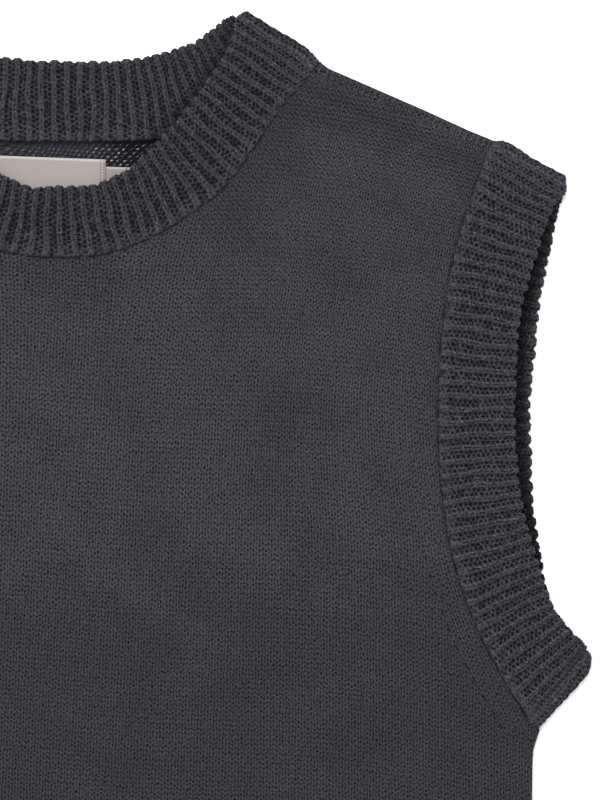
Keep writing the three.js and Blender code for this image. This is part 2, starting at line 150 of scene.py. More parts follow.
def smooth_run(points, places):
    """Points of a smooth line through the given ones, at places counted from the first."""
    longer = np.vstack([2 * points[0] - points[1], points, 2 * points[-1] - points[-2]])
    row = np.clip(np.floor(places).astype(int), 0, len(points) - 2)
    t = (places - row)[:, None]
    before, start, stop, after = (longer[row + i] for i in range(4))
    gap = lambda p, q: np.sqrt(np.linalg.norm(q - p, axis=1))[:, None]
    g0, g1, g2 = gap(before, start), gap(start, stop), gap(stop, after)
    leave = (start - before) / g0 - (stop - before) / (g0 + g1) + (stop - start) / g1
    arrive = (stop - start) / g1 - (after - start) / (g1 + g2) + (after - stop) / g2
    leave, arrive = leave * g1, arrive * g1
    bend = 3 * (stop - start) - 2 * leave - arrive
    twist = 2 * (start - stop) + leave + arrive
    return start + t * (leave + t * (bend + t * twist))


def band_half(rows, both_sides=False, shift_out=0, far_lift=0):
    """A half of a band in plan: its seam and free edge at given ribs, and its fold directions."""
    rows = np.array([row[:5] for row in rows], float)
    if both_sides:
        rows = np.vstack([rows[:0:-1] * (-1, -1, 1, -1, 1) - (0, 0, 0, 0, far_lift), rows])
    seam = np.column_stack([rows[:, 1] * MM + shift_out, NECK_POINT_Y - rows[:, 2] * MM])
    edge = np.column_stack([rows[:, 3] * MM + shift_out, NECK_POINT_Y - rows[:, 4] * MM])
    folds = []
    for end, inner in ((0, 1), (-1, -2)):
        along_row = (edge[end] - seam[end]) / np.linalg.norm(edge[end] - seam[end])
        across = np.array([along_row[1], -along_row[0]])
        away = seam[end] + edge[end] - seam[inner] - edge[inner]
        folds.append(across * np.sign(across @ away))
    for end, fold in zip((0, -1), folds):
        seam[end] -= fold * FOLD_OUTSIDE
        edge[end] -= fold * FOLD_OUTSIDE

    def line(ribs):
        places = np.interp(ribs, rows[:, 0], np.arange(len(rows)))
        return smooth_run(seam, places), smooth_run(edge, places)

    return line, folds


def eased(x):
    x = np.clip(x, 0, 1)
    return x * x * (3 - 2 * x)


def panel_edge(line, ribs, ends):
    """A panel's linked edge: under the band, but beside it near the band's folds."""
    seam, edge = line(ribs)
    from_fold = np.min([np.abs(ribs - end) for end in ends], axis=0)
    under = UNDER_BAND * eased((from_fold - BESIDE_RIBS) / SLIP_UNDER_RIBS)
    return seam + (edge - seam) / np.linalg.norm(edge - seam, axis=1)[:, None] * under[:, None]


def plan_point(across, drop):
    return np.array([across * MM, NECK_POINT_Y - drop * MM])


def panel_outline(neck, neck_ribs, arm):
    """Right half of a panel: its top from the neck's centre, its right side from the hem."""
    neck_points, arm_points = 60, 90
    neck_edge = panel_edge(neck, np.linspace(0, neck_ribs, neck_points), (neck_ribs,))
    arm_edge = panel_edge(arm, np.linspace(ARM_RIBS, 0, arm_points), (0, ARM_RIBS))
    shoulder = np.array([plan_point(*place) for place in SHOULDER])
    side = np.array([plan_point(*place) for place in SIDE])
    return {
        "top": np.vstack([neck_edge, shoulder]),
        "right": np.vstack([side, plan_point(*ARMHOLE[-1][1:3]), arm_edge, shoulder[-1]]),
        "linked": (neck_edge, arm_edge),
        "folds": (shoulder, side),
    }


def reached(line):
    """How far along a line each of its points lies."""
    return np.concatenate([[0], np.cumsum(np.linalg.norm(np.diff(line, axis=0), axis=1))])


def part_way(line, share):
    length = reached(line)
    return np.column_stack([np.interp(share * length[-1], length, line[:, k]) for k in (0, 1)])


def distance(points, line):
    """Distance from each point to a line, and how far along the line its foot lies."""
    nearest, place = np.full(len(points), np.inf), np.zeros(len(points))
    length = reached(line)
    for i in range(len(line) - 1):
        span = line[i + 1] - line[i]
        part = np.clip((points - line[i]) @ span / (span @ span), 0, 1)
        gap = np.linalg.norm(points - line[i] - part[:, None] * span, axis=1)
        closer = gap < nearest
        nearest[closer] = gap[closer]
        place[closer] = length[i] + part[closer] * (length[i + 1] - length[i])
    return nearest, place


def stretch_patch(outline, a, b):
    """Plan points of half a panel, stretched between its centre line, hem, side and top."""
    a, b = a[:, None], b[:, None]
    hem_corner = outline["right"][0]
    hem_centre = np.array([0, hem_corner[1]])
    neck_centre, shoulder = outline["top"][0], outline["top"][-1]
    left = hem_centre + (neck_centre - hem_centre) * b
    bottom = hem_centre + (hem_corner - hem_centre) * a
    right, top = part_way(outline["right"], b[:, 0]), part_way(outline["top"], a[:, 0])
    corners = (1 - a) * (1 - b) * hem_centre + a * (1 - b) * hem_corner
    corners = corners + (1 - a) * b * neck_centre + a * b * shoulder
    return (1 - a) * left + a * right + (1 - b) * bottom + b * top - corners


# How the knit lies: upright at the centre front, leaning out towards the shoulder higher up
LEAN_TOP, LEAN_STARTS, LEAN_SPAN, LEAN_SPREAD = 0.30, 40 * MM, 133 * MM, 52 * MM
WALE_TWIST, ROW_TWIST = 0.04, 0.02  # the whole fabric's slight twist
CENTRE_TWIST, CENTRE_REACH = 0.07, 28 * MM
SIDE_DROOP, OUTER_PART = 1.6, 66 * MM  # rows sink beyond this far out
SHOULDER_DROOP, DROOP_STARTS, DROOP_SPAN = 0.06, 100 * MM, 90 * MM
NARROWED, NARROW_STARTS, NARROW_SPAN = 0.11, 30 * MM, 60 * MM  # narrow stitches at the armholes
NECK_ROWS, NECK_ROWS_START, NECK_ROWS_SPAN = 0.11, 80 * MM, 45 * MM  # flat ones below the neck
NECK_ROWS_WIDE = 75 * MM
LOW_ROWS, LOW_ROWS_START, LOW_ROWS_SPAN = 0.06, 30 * MM, 40 * MM  # and on the lower body


def stitch_places(plan):
    """Wale and course number at each plan point, counted in stitches."""
    x, y = plan[:, 0], plan[:, 1]
    climb = (y - LEAN_STARTS) / LEAN_SPAN
    part = np.clip(climb, 0, 1)
    lean = LEAN_TOP * LEAN_SPAN * np.where(climb < 1, part**3 - part**4 / 2, climb - 0.5)
    upright = 1 - eased(np.abs(x) / (2 * LEAN_SPREAD))
    shift = np.sign(x) * lean * eased(np.abs(x) / LEAN_SPREAD) + WALE_TWIST * y * upright
    outer = np.maximum(np.abs(x) - OUTER_PART, 0)
    shift = shift - np.sign(x) * NARROWED * outer * eased((y - NARROW_STARTS) / NARROW_SPAN)
    droop = ROW_TWIST * x + CENTRE_TWIST * CENTRE_REACH * np.tanh(x / CENTRE_REACH)
    droop = droop + SIDE_DROOP * outer**2
    droop = droop + SHOULDER_DROOP * np.abs(x) * eased((y - DROOP_STARTS) / DROOP_SPAN)
    closer = lambda t: np.where(t < 1, np.clip(t, 0, 1) ** 2 / 2, t - 0.5)
    neck_rows = NECK_ROWS * NECK_ROWS_SPAN * closer((y - NECK_ROWS_START) / NECK_ROWS_SPAN)
    neck_rows = neck_rows * (1 - eased(np.abs(x) / NECK_ROWS_WIDE))
    low_rows = LOW_ROWS * LOW_ROWS_SPAN * closer((LOW_ROWS_START - y) / LOW_ROWS_SPAN)
    return (x - shift) / WALE, (y + droop + neck_rows - low_rows) / COURSE


def cloth_shell(steps, place, top, bottom):
    """A thin closed shell over a grid: place gives its plan, top and bottom its two heights."""
    bm = bmesh.new()
    bmesh.ops.create_grid(bm, x_segments=steps[0], y_segments=steps[1], size=1)
    plan = place(np.array([v.co for v in bm.verts]))
    for vert, (x, y), z in zip(bm.verts, plan, top(plan)):
        vert.co = (x, y, z)
    under = bmesh.ops.extrude_face_region(bm, geom=bm.faces[:], use_keep_orig=True)["geom"]
    under = [vert for vert in under if isinstance(vert, bmesh.types.BMVert)]
    for vert, z in zip(under, bottom(np.array([v.co for v in under])[:, :2])):
        vert.co.z = z
    bmesh.ops.recalc_face_normals(bm, faces=bm.faces[:])
    return bm


def finished(name, bm, *paints):
    """The object of a mesh. With two finishes, faces that look up take the first."""
    mesh = bpy.data.meshes.new(name)
    bm.to_mesh(mesh)
    bm.free()
    mesh.shade_smooth()
    for paint in paints:
        mesh.materials.append(paint)
    if len(paints) == 2:
        for face in mesh.polygons:
            face.material_index = 0 if face.normal.z > 0 else 1
    piece = bpy.data.objects.new(name, mesh)
    bpy.context.collection.objects.link(piece)
    return piece


def knit_panel(outline, top, bottom, steps):
    """A shell of jersey, mirrored about the centre line, with the lie of its stitches on it."""
    edge_gather = 1.6  # mesh lines lie closer together towards the edges
    gathered = lambda share: 1 - (1 - share) ** edge_gather

    def mirrored(plan):
        return plan * np.column_stack([np.sign(plan[:, 0]) + (plan[:, 0] == 0), np.ones(len(plan))])

    def place(grid):
        plan = stretch_patch(outline, gathered(np.abs(grid[:, 0])), gathered((grid[:, 1] + 1) / 2))
        plan[:, 0] *= np.where(grid[:, 0] < 0, -1, 1)
        return plan

    def with_reaches(height):
        """A height that also knows how far each point is from a linked edge and from a fold."""
        def at(plan):
            right_half = mirrored(plan)
            to_linked = np.min([distance(right_half, line)[0] for line in outline["linked"]], axis=0)
            to_fold = np.min([distance(right_half, line)[0] for line in outline["folds"]], axis=0)
            return height(plan, to_linked, to_fold)
        return at

    bm = cloth_shell(steps, place, with_reaches(top), with_reaches(bottom))
    plan = np.array([v.co for v in bm.verts])[:, :2]
    wale, course = stitch_places(plan)
    to_neck = distance(mirrored(plan), outline["linked"][0])[0]
    to_arm, down_arm = distance(mirrored(plan), outline["linked"][1])
    to_shoulder, along_shoulder = distance(mirrored(plan), outline["folds"][0])
    titles = ("stitches", "armhole", "shoulder")
    stitches, armhole, shoulder = (bm.verts.layers.float_vector.new(title) for title in titles)
    for i, vert in enumerate(bm.verts):
        vert[stitches] = (wale[i], course[i], to_neck[i] / MM)
        vert[armhole] = (to_arm[i] / MM, down_arm[i] / MM, plan[i, 1] / MM)
        vert[shoulder] = (to_shoulder[i] / MM, along_shoulder[i] / MM, plan[i, 0] / MM)
    return bm


def srgb(*steps):
    """A colour as a paint program gives it, for a shader."""
    return tuple(((s / 255 + 0.055) / 1.055) ** 2.4 for s in steps) + (1,)


def number(tree, operation, *values):
    """One sum in a shader. Values are numbers or other nodes' outputs."""
    node = tree.nodes.new("ShaderNodeMath")
    node.operation = operation
    for socket, value in zip(node.inputs, values):
        if isinstance(value, (int, float)):
            socket.default_value = value
        else:
            tree.links.new(value, socket)
    return node.outputs[0]


def product(tree, *values):
    result = values[0]
    for value in values[1:]:
        result = number(tree, "MULTIPLY", result, value)
    return result


def blend(tree, share, low, high):
    """A number between two others, by a share from 0 to 1."""
    return number(tree, "ADD", low, product(tree, share, number(tree, "SUBTRACT", high, low)))


def ramp(tree, value, start, stop, low=0, high=1):
    """A soft step between two values."""
    node = tree.nodes.new("ShaderNodeMapRange")
    node.interpolation_type = "SMOOTHSTEP"
    tree.links.new(value, node.inputs["Value"])
    for title, setting in zip(("From Min", "From Max", "To Min", "To Max"), (start, stop, low, high)):
        node.inputs[title].default_value = setting
    return node.outputs["Result"]


def hill(tree, value, middle, reach):
    """1 at the middle and 0 beyond the reach on both sides."""
    return ramp(tree, number(tree, "ABSOLUTE", number(tree, "SUBTRACT", value, middle)), 0, reach, 1, 0)


def wave(tree, turns):
    """0 at whole turns and 1 half way between them."""
    angle = number(tree, "MULTIPLY", turns, 2 * math.pi)
    return number(tree, "MULTIPLY_ADD", number(tree, "COSINE", angle), -0.5, 0.5)


def parts_of(tree, vector):
    node = tree.nodes.new("ShaderNodeSeparateXYZ")
    tree.links.new(vector, node.inputs[0])
    return node.outputs[0], node.outputs[1], node.outputs[2]


def attribute(tree, title):
    node = tree.nodes.new("ShaderNodeAttribute")
    node.attribute_name = title
    return parts_of(tree, node.outputs["Vector"])


def noise(tree, x, y, size, detail=2):
    """Soft noise from 0 to 1 over two coordinates."""
    join = tree.nodes.new("ShaderNodeCombineXYZ")
    for socket, value in zip(join.inputs, (x, y)):
        tree.links.new(value, socket)
    node = tree.nodes.new("ShaderNodeTexNoise")
    node.inputs["Scale"].default_value = size
    node.inputs["Detail"].default_value = detail
    tree.links.new(join.outputs[0], node.inputs["Vector"])
    return node.outputs["Fac"]


def strayed(tree, value, x, y, size, amount):
    """A coordinate moved a little to and fro, as hand and machine leave it."""
    stray = number(tree, "MULTIPLY_ADD", noise(tree, x, y, size), amount, -amount / 2)
    return number(tree, "ADD", value, stray)


def yarn_paint(name, bright, hollow, build, bump_depth=0.35 * MM, gloss=0.08):
    """Matt yarn. build gives how hollow each place is, its lightness and its height."""
    paint = bpy.data.materials.new(name)
    paint.use_nodes = True
    tree = paint.node_tree
    shader = tree.nodes["Principled BSDF"]
    dark, lightness, height = build(tree)
    colour = tree.nodes.new("ShaderNodeMix")
    colour.data_type = "RGBA"
    colour.inputs["A"].default_value = bright
    colour.inputs["B"].default_value = hollow
    tree.links.new(dark, colour.inputs["Factor"])
    shade = tree.nodes.new("ShaderNodeVectorMath")
    shade.operation = "SCALE"
    tree.links.new(colour.outputs["Result"], shade.inputs[0])
    tree.links.new(lightness, shade.inputs["Scale"])
    tree.links.new(shade.outputs[0], shader.inputs["Base Color"])
    bump = tree.nodes.new("ShaderNodeBump")
    bump.inputs["Strength"].default_value = 0.9
    bump.inputs["Distance"].default_value = bump_depth
    tree.links.new(height, bump.inputs["Height"])
    tree.links.new(bump.outputs[0], shader.inputs["Normal"])
    shader.inputs["Roughness"].default_value = 0.95
    shader.inputs["Specular IOR Level"].default_value = gloss
    shader.inputs["Sheen Weight"].default_value = gloss * 0.4
    shader.inputs["Sheen Roughness"].default_value = 0.6
    return paint


def jersey_stitches(tree, wale, course, row_lines):
    """Plain knit: two leaning legs a stitch, with painted shade in the V's hollow and between wales."""
    wale = strayed(tree, wale, wale, course, size=0.6, amount=0.5)
    wale = strayed(tree, wale, course, wale, size=1.6, amount=0.35)
    course = strayed(tree, course, course, wale, size=0.7, amount=0.8)
    aside = number(tree, "ABSOLUTE", number(tree, "SUBTRACT", number(tree, "FRACT", wale), 0.5))
    between = wave(tree, number(tree, "MULTIPLY_ADD", aside, 2, 0.5))
    crossing = wave(tree, number(tree, "ADD", course, aside))
    strength = ramp(tree, noise(tree, wale, course, 1.3), 0.34, 0.6, 0.3, 1.1)
    hole = product(tree, ramp(tree, product(tree, between, crossing), 0.2, 0.7), strength)
    column = ramp(tree, noise(tree, wale, course, 0.11), 0.4, 0.65, 0.06, 0.36)
    column = product(tree, number(tree, "POWER", between, 2), column)
    row = product(tree, crossing, row_lines)
    dark = number(tree, "MAXIMUM", number(tree, "MAXIMUM", hole, row), column)
    fibres = noise(tree, wale, course, 2.9, detail=3)
    legs = product(tree, number(tree, "SUBTRACT", 1, between), number(tree, "SUBTRACT", 1, crossing))
    lightness = number(tree, "MULTIPLY_ADD", legs, 0.25, ramp(tree, fibres, 0.3, 0.7, 0.5, 1.55))
    height = number(tree, "SUBTRACT", number(tree, "SUBTRACT", 1, between), dark)
    return wale, course, dark, lightness, height


STRIP_WIDE, STRIP_TOP = 9.3, 36  # millimetres: the fashioned strip beside the lower armhole
SHOULDER_ROWS = 3.8  # millimetres below the shoulder fold in which the rows follow it
MARKS_APART, ENDS_APART = 6, 2.2  # millimetres between fashioning marks and between bound stitches


def jersey_face(tree):
    """Right side of the panels, with the stitches turned along the shoulder and lower armhole."""
    wale, course, to_neck = attribute(tree, "stitches")
    to_arm, down_arm, level = attribute(tree, "armhole")
    to_shoulder, along_shoulder, _ = attribute(tree, "shoulder")
    strip = product(
        tree,
        number(tree, "LESS_THAN", to_arm, STRIP_WIDE),
        number(tree, "LESS_THAN", level, STRIP_TOP),
        number(tree, "GREATER_THAN", down_arm, 0.4),
    )
    top = number(tree, "LESS_THAN", to_shoulder, SHOULDER_ROWS)
    wale = blend(tree, strip, wale, number(tree, "MULTIPLY", to_arm, MM / WALE))
    course = blend(tree, strip, course, number(tree, "MULTIPLY", down_arm, MM / COURSE))
    wale = blend(tree, top, wale, number(tree, "MULTIPLY", along_shoulder, MM / WALE))
    course = blend(tree, top, course, number(tree, "MULTIPLY", to_shoulder, MM / COURSE))
    below_shoulder = product(tree, ramp(tree, to_shoulder, 4, 7), ramp(tree, to_shoulder, 16, 24, 1, 0))
    patches = ramp(tree, noise(tree, wale, course, 0.09), 0.42, 0.6, 0.12, 0.34)
    row_lines = number(tree, "MULTIPLY_ADD", below_shoulder, 0.34, patches)
    wale, course, dark, lightness, height = jersey_stitches(tree, wale, course, row_lines)
    ends = wave(tree, number(tree, "DIVIDE", along_shoulder, ENDS_APART))
    ends = ramp(tree, ends, 0.55, 0.85, 0, 0.5)
    dark = number(tree, "MAXIMUM", dark, product(tree, ends, top))
    marks = product(
        tree,
        hill(tree, to_arm, 9.5, 0.8),
        ramp(tree, wave(tree, number(tree, "DIVIDE", down_arm, MARKS_APART)), 0.72, 0.9),
        number(tree, "LESS_THAN", level, STRIP_TOP),
    )
    # Painted shade along the linked seams: a narrow dark line and a softer shadow beside it.
    to_seam = number(tree, "MINIMUM", to_neck, to_arm)
    broken = ramp(tree, noise(tree, wale, course, 0.5), 0.35, 0.65, 0.25, 1)
    line, soft_shadow = ramp(tree, to_seam, 0.6, 1.7, 0.7, 0), ramp(tree, to_seam, 0.8, 3.4, 0.3, 0)
    seam_shade = number(tree, "ADD", line, soft_shadow)
    seam_shade = product(tree, seam_shade, broken, ramp(tree, to_shoulder, 3, 16, 0.2, 1))
    dark = number(tree, "MAXIMUM", dark, number(tree, "MAXIMUM", product(tree, marks, 0.8), seam_shade))
    # Painted shade: a darker band below the shoulder fold, and the body darker towards the hem and near
    # the neckband.
    shading = number(tree, "MULTIPLY_ADD", hill(tree, to_shoulder, 9.5, 2.5), -0.16, 1)
    low = product(tree, ramp(tree, level, -10, 50, 0.82, 1), ramp(tree, to_neck, 4, 25, 0.89, 1))
    mottle = ramp(tree, noise(tree, wale, course, 0.07, detail=3), 0.3, 0.7, 0.92, 1.08)
    return dark, product(tree, lightness, shading, low, mottle), height


def purl_side(tree):
    """Inside of the panels: near black in the neck with painted shade, with tiny light pinholes between
    stitches.
    """
    wale, course, to_neck = attribute(tree, "stitches")
    _, _, across = attribute(tree, "shoulder")
    wale = strayed(tree, wale, wale, course, size=1.1, amount=0.6)
    course = strayed(tree, course, course, wale, size=0.9, amount=0.7)
    leaning = number(tree, "MULTIPLY_ADD", course, -0.55, number(tree, "MULTIPLY", wale, 1.5))
    crossing = wave(tree, number(tree, "MULTIPLY", course, 1.15))
    pinholes = number(tree, "POWER", wave(tree, leaning), 9)
    open_hole = product(tree, pinholes, number(tree, "POWER", crossing, 2.5))
    strength = ramp(tree, noise(tree, wale, course, 1.2), 0.34, 0.6, 0.05, 0.75)
    lit = product(tree, ramp(tree, across, 4, 22, 0.15, 0.9), ramp(tree, to_neck, 1, 3.5, 0.05, 1))
    hole = product(tree, open_hole, strength, lit)
    # Painted shade: darker next to the neckband and further out from the centre line.
    inside_shade = product(tree, ramp(tree, across, 8, 24, 1, 0.4), ramp(tree, to_neck, 0.5, 3.5, 0.4, 1))
    fibres = ramp(tree, noise(tree, wale, course, 2.6, detail=3), 0.25, 0.75, 0.6, 1.4)
    bars = number(tree, "MULTIPLY_ADD", wave(tree, leaning), 0.5, 0.7)
    return hole, blend(tree, hole, product(tree, bars, fibres, inside_shade), 1), crossing


# The jersey's near-black hollow colour is painted shade in its stitch hollows. The inside's dark colour
# is partly the purl side and partly painted shade; its pale hollow colour is its pinholes.
jersey_paint = yarn_paint("jersey", srgb(49.5, 50.1, 55.3), srgb(4, 4, 7), jersey_face)
inside_paint = yarn_paint("jersey_inside", srgb(39, 39, 44), srgb(215, 213, 211), purl_side, gloss=0)


TUCK, TUCK_REACH, TUCK_FADES = 0.6 * MM, 1.8 * MM, 14 * MM  # a panel's edge under a band
OFF_FLOOR = 0.02 * MM
BACK_TOP = 0.05 * MM + JERSEY


def tucked(to_linked, to_fold):
    """How much lower a panel's top is where it runs in under a band, away from the folds."""
    return TUCK * (1 - np.clip(to_linked / TUCK_REACH, 0, 1)) ** 2 * eased(to_fold / TUCK_FADES)


def back_top(plan, to_linked, to_fold):
    return BACK_TOP - tucked(to_linked, to_fold)


def back_bottom(plan, to_linked, to_fold):
    roll = 1 - np.clip(to_fold / EDGE_ROLL, 0, 1)
    return OFF_FLOOR + (JERSEY - TUCK) * (1 - np.sqrt(1 - roll**2))


FAR_LIFT = 1  # millimetres by which the neckband's free edge lies higher on its left half
neck_back, neck_folds = band_half(NECK_BACK, both_sides=True, far_lift=FAR_LIFT)
back_shift = np.array([row[5] for row in ARMHOLE]) * MM
arm_back, arm_folds = band_half(ARMHOLE, shift_out=back_shift)
back_outline = panel_outline(neck_back, BACK_RIBS, arm_back)
back_panel = knit_panel(back_outline, back_top, back_bottom, (110, 110))
back = finished("back", back_panel, inside_paint, jersey_paint)
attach(back, "root")
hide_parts("back_panel")

# Front: the same jersey, right side up, cut deeper at the neck and armholes. It lies on the back,
# rises a little to each band and rolls over at the shoulders and sides to meet the back.
NECK_FRONT = (
    # rib, seam out, seam down, free edge out, free edge down
    (0, 0, 65.7, 0, 42),
    (2.8, 14.7, 64.7, 10, 42),
    (6.4, 31, 58.8, 22.3, 36.3),
    (9.3, 43.3, 51.3, 30.7, 29),
    (11.6, 54, 43.3, 36.2, 23.8),
    (15.6, 66, 27.3, 45.7, 11.3),
    (18.8, 74.3, 15, 53, 1.7),
    (20.6, 79.7, 9, 57.3, -6),
    (23, 86, 0.7, 61.7, -16),
)
FRONT_RIBS = NECK_FRONT[-1][0]
FRONT_REST = JERSEY + 0.35 * MM
FRONT_LIFT, LIFT_REACH, LIFT_FADES = 1.1 * MM, 30 * MM, 6 * MM
DRAPE, DRAPE_FADES = 0.5 * MM, 40 * MM
THINNEST = 0.02 * MM  # what is left of the cloth where it rolls over


def front_bottom(plan, to_linked, to_fold):
    lift = FRONT_LIFT * eased(1 - to_linked / LIFT_REACH) * eased(to_fold / LIFT_FADES)
    ripple = 1 + np.sin(plan[:, 0] / (31 * MM) + 0.8) * np.cos(plan[:, 1] / (47 * MM) + 0.4)
    drape = DRAPE / 2 * ripple * eased(to_fold / DRAPE_FADES) * eased(to_linked / LIFT_REACH)
    return FRONT_REST + lift + drape


def front_top(plan, to_linked, to_fold):
    roll = 1 - np.clip(to_fold / EDGE_ROLL, 0, 1)
    thick = JERSEY - tucked(to_linked, to_fold)
    return front_bottom(plan, to_linked, to_fold) + thick * np.sqrt(1 - roll**2) + THINNEST


neck_front, _ = band_half(NECK_FRONT, both_sides=True)
arm_front, _ = band_half(ARMHOLE)
front_outline = panel_outline(neck_front, FRONT_RIBS, arm_front)
front_panel = knit_panel(front_outline, front_top, front_bottom, (190, 210))
front = finished("front", front_panel, jersey_paint, inside_paint)
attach(front, "root")
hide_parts("front_panel")

# Neckband: one ring of one-by-one rib, linked round the neck and folded flat at both shoulders.
# Its front half lies on top, and the inside of its back half shows above the neck opening.
COLUMNS_PER_RIB = 10
FOLD_RIBS = 2  # ribs that go round each fold
RIB_HOLLOW = 1.3 * MM  # how deep the rib is between ridges
BAND_WIDTH = 26.5 * MM
PINCH, ROUND = 2.0 * MM / BAND_WIDTH, 1.4 * MM / BAND_WIDTH
PINCHED_TO = 0.4  # how full the wall still is at the seam
END_STEPS, FLAT_STEPS = 5, 26
NECK_SCALLOP = 0.5 * MM  # how deep each notch in the free edge is
EDGE_LIFT = 1.2 * MM  # how far the front half's free edge rises off the back half
# Ribs from a fold where the band lies free of it, where its hollows are full, where its edge is
# lifted, and where the edge stops running on
FREE_RIBS, HOLLOW_RIBS, LIFT_RIBS, RUN_ON_RIBS = 9, 4, 6, 3.5
PAIR_TEETH, SMALL_TEETH = 0.15 * MM, 0.14 * MM  # the finer teeth of the free edge
SLOW_SWING, QUICK_SWING = 0.2 * MM, 0.15 * MM  # how unevenly the free edge runs
FLATTENED = 0.75  # how much flatter the ribs are on the side that lies down
OTHER_SIDE = 40  # rows by which the pattern inside a band differs from the one outside
SAME_PLACE = 0.001 * MM  # points closer than this are merged where a ring closes
# Each fold: how far the free edge runs on beside it, and how far the fold bulges outwards, both in
# millimetres. A bulge's row holds the share of the way from the seam to the free edge, and it.
NECK_FOLD = (
    1.7,
    ((0, 0.8), (0.04, 1.2), (0.1, 1.6), (0.2, 2.1), (0.4, 1.9), (0.6, 1.4), (0.8, 1.2), (1, 0.9)),
)
BUMP = 0.22  # millimetres that single stitches stand out or in along a fold
STITCH_BUMPS = np.random.default_rng(4).uniform(-BUMP, BUMP, 100) * MM


def ring_columns(upper, lower, folds, upper_ribs, lower_ribs):
    """Sections round a folded ring: seam and edge in plan, fold direction and turn of each."""
    step = 1 / COLUMNS_PER_RIB
    there = np.arange(upper_ribs[0], upper_ribs[1], step)
    back_again = np.arange(lower_ribs[1], lower_ribs[0], -step)
    bend = np.arange(0, FOLD_RIBS, step) / FOLD_RIBS * math.pi
    hold = np.ones(len(bend))
    seam_up, edge_up = upper(np.concatenate([there, hold * upper_ribs[1]]))
    seam_low, edge_low = lower(np.concatenate([back_again, hold * lower_ribs[0]]))
    half = len(seam_up)
    up_from_fold = np.minimum(there - upper_ribs[0], upper_ribs[1] - there)
    low_from_fold = np.minimum(back_again - lower_ribs[0], lower_ribs[1] - back_again)
    late_up, late_low = there > np.mean(upper_ribs), back_again > np.mean(lower_ribs)
    return {
        "seam": np.vstack([seam_up, seam_low]),
        "edge": np.vstack([edge_up, edge_low]),
        "fold": np.vstack([np.tile(folds[1], (half, 1)), np.tile(folds[0], (len(seam_low), 1))]),
        "turn": np.concatenate([there * 0, bend, back_again * 0 + math.pi, math.pi - bend]),
        "from_fold": np.concatenate([up_from_fold, bend * 0, low_from_fold, bend * 0]),
        "near_end": np.concatenate([late_up, hold > 0, late_low, hold < 0]),
        "half": half,
        "edge_up": edge_up[:len(there)],
    }


def section_lines():
    """Lines round the band's section: share of its width, how full its wall is, and its side."""
    quarter = np.arange(END_STEPS) / END_STEPS * math.pi / 2
    pinch = [(PINCH * (1 - math.cos(t)), PINCHED_TO + (1 - PINCHED_TO) * math.sin(t)) for t in quarter]
    flat = [(share, 1) for share in np.linspace(PINCH, 1 - ROUND, FLAT_STEPS + 1)]
    nose = [(1 - ROUND * (1 - math.sin(t)), math.cos(t)) for t in quarter[1:]]
    outer = [(share, full, 1) for share, full in pinch + flat + nose]
    return outer + [(1, 0, 1)] + [(share, full, -1) for share, full, _ in outer[::-1]]


def ridge(rib):
    """Height of the rib's ridges from 0 to 1: narrow crests and wide hollows."""
    sharpness = 1.2
    return (0.5 + 0.5 * np.cos(2 * math.pi * rib)) ** sharpness


